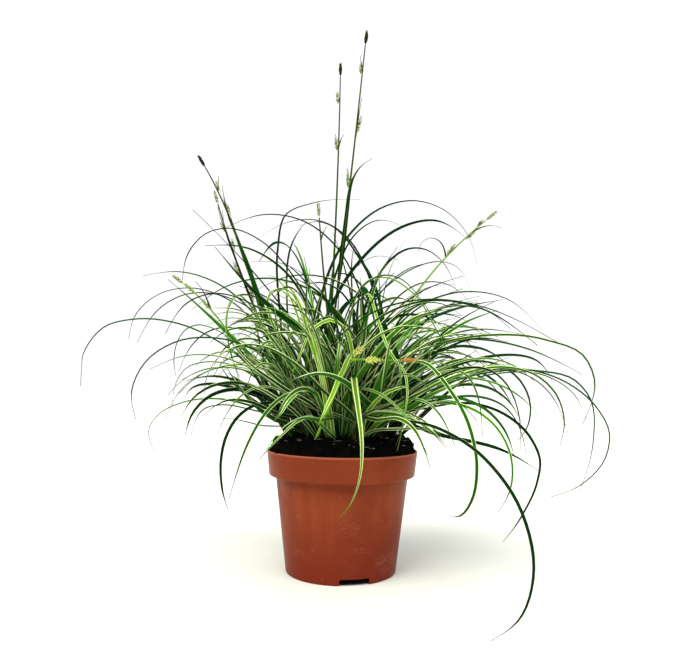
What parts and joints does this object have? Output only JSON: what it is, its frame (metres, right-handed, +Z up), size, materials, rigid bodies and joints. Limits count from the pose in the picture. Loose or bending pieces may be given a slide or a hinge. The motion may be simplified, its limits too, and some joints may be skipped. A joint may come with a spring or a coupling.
{
  "type": "potted sedge plant",
  "caption": "Tufted sedge with arching, cream-edged green blades and a few upright flowering stems, growing in soil in a round plastic nursery pot with a deep lip.",
  "frame": {"origin": "centre of the pot's foot, on the surface that the pot stands on", "axes": "+Z up along the pot's axis; -Y is the front, the side that the pot's drain notch faces most; +X is to the right seen from the front"},
  "size_m": [0.4414, 0.3494, 0.4497],
  "materials": {
    "pot": "satin red-brown injection-moulded polypropylene, with light scuffs",
    "soil": "moist, crumbly near-black peat compost",
    "leaf": "smooth, slightly glossy deep green blades with thin cream margins",
    "leaf_lime": "smooth, slightly glossy lime-green blades",
    "stem": "smooth green flowering stems with yellow-green flower spikes",
    "spike": "matte, scaly orange-brown flower spikes at the stems' tips"
  },
  "bodies": {
    "root": {"pot": "pot", "soil": "soil", "shoot_01": "leaf", "shoot_02": "leaf_lime", "shoot_03": "leaf", "shoot_04": "leaf", "shoot_05": "leaf", "shoot_06": "leaf", "shoot_07": "leaf", "shoot_08": "leaf_lime", "shoot_09": "leaf", "shoot_10": "leaf", "shoot_11": "leaf", "shoot_12": "leaf", "shoot_13": "leaf", "shoot_14": "leaf", "shoot_15": "leaf", "shoot_16": "leaf", "shoot_17": "leaf", "shoot_18": "leaf", "shoot_19": "leaf", "shoot_20": "leaf", "shoot_21": "leaf", "shoot_22": "leaf", "shoot_23": "leaf", "shoot_24": "leaf", "shoot_25": "leaf", "shoot_26": "leaf", "culm_1": "stem", "culm_2": "stem", "culm_3": "stem", "culm_4": "stem", "culm_5": "stem", "culm_6": "stem", "culm_7": "stem", "culm_8": "stem", "culm_9": "stem", "culm_10": "stem", "culm_1_tip": "spike", "culm_2_tip": "spike", "culm_3_tip": "spike", "culm_4_tip": "spike", "culm_5_tip": "spike", "culm_6_tip": "spike", "culm_7_tip": "spike", "culm_8_tip": "spike", "culm_9_tip": "spike", "culm_10_tip": "spike"}
  },
  "joints": []
}
